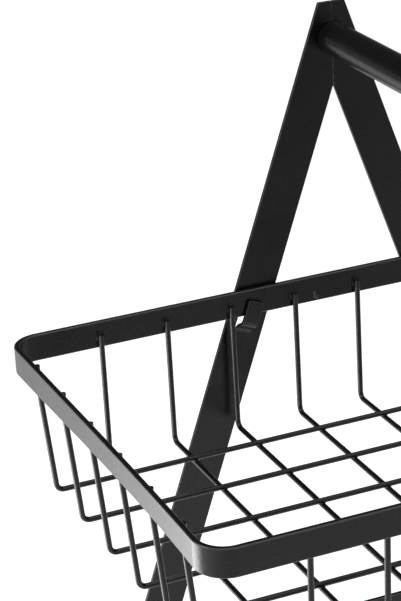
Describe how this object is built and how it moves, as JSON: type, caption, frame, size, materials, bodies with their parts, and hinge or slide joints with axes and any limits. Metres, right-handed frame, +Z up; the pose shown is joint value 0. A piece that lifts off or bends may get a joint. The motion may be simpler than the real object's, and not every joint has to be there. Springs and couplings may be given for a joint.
{
  "type": "two-tier kitchen rack",
  "caption": "Two-tier countertop rack: wire baskets with flat-bar rims lift off the hooks of two A-shaped flat-bar frames joined by a carrying handle and foot rails.",
  "frame": {"origin": "on the table top, under the middle of the baskets", "axes": "+Z up, X along the long side of the baskets, +Y towards the rear frame"},
  "size_m": [0.412, 0.277, 0.474],
  "materials": {
    "powder_coat": "satin black powder coat",
    "black_screw": "satin black",
    "plain_steel": "zinc plated",
    "rubber": "matt"
  },
  "bodies": {
    "frame": {"leg_front_left": "powder_coat", "leg_front_right": "powder_coat", "leg_rear_left": "powder_coat", "leg_rear_right": "powder_coat", "handle_tube": "powder_coat", "handle_plug_front": "plain_steel", "handle_plug_rear": "plain_steel", "handle_screw_front": "black_screw", "handle_screw_rear": "black_screw", "foot_rail_left": "powder_coat", "foot_rail_right": "powder_coat", "rail_screw_front_left": "black_screw", "rail_screw_rear_left": "black_screw", "rail_screw_front_right": "black_screw", "rail_screw_rear_right": "black_screw", "rail_nut_front_left": "plain_steel", "rail_nut_rear_left": "plain_steel", "rail_nut_front_right": "plain_steel", "rail_nut_rear_right": "plain_steel", "rubber_foot_front_left": "rubber", "rubber_foot_rear_left": "rubber", "rubber_foot_front_right": "rubber", "rubber_foot_rear_right": "rubber"},
    "upper_basket": {"upper_rim": "powder_coat", "upper_cross_wire_1": "powder_coat", "upper_cross_wire_2": "powder_coat", "upper_cross_wire_3": "powder_coat", "upper_cross_wire_4": "powder_coat", "upper_cross_wire_5": "powder_coat", "upper_cross_wire_6": "powder_coat", "upper_cross_wire_7": "powder_coat", "upper_cross_wire_8": "powder_coat", "upper_cross_wire_9": "powder_coat", "upper_long_wire_1": "powder_coat", "upper_long_wire_2": "powder_coat", "upper_long_wire_3": "powder_coat", "upper_long_wire_4": "powder_coat", "upper_long_wire_5": "powder_coat", "upper_long_wire_6": "powder_coat"},
    "lower_basket": {"lower_rim": "powder_coat", "lower_cross_wire_1": "powder_coat", "lower_cross_wire_2": "powder_coat", "lower_cross_wire_3": "powder_coat", "lower_cross_wire_4": "powder_coat", "lower_cross_wire_5": "powder_coat", "lower_cross_wire_6": "powder_coat", "lower_cross_wire_7": "powder_coat", "lower_cross_wire_8": "powder_coat", "lower_cross_wire_9": "powder_coat", "lower_long_wire_1": "powder_coat", "lower_long_wire_2": "powder_coat", "lower_long_wire_3": "powder_coat", "lower_long_wire_4": "powder_coat", "lower_long_wire_5": "powder_coat", "lower_long_wire_6": "powder_coat"}
  },
  "joints": [
    {"name": "upper_basket_lift", "type": "slide", "parent": "frame", "child": "upper_basket", "axis": [0, 0, 1], "range_m": [0, 0.12]},
    {"name": "lower_basket_lift", "type": "slide", "parent": "frame", "child": "lower_basket", "axis": [0, 0, 1], "range_m": [0, 0.12]}
  ]
}
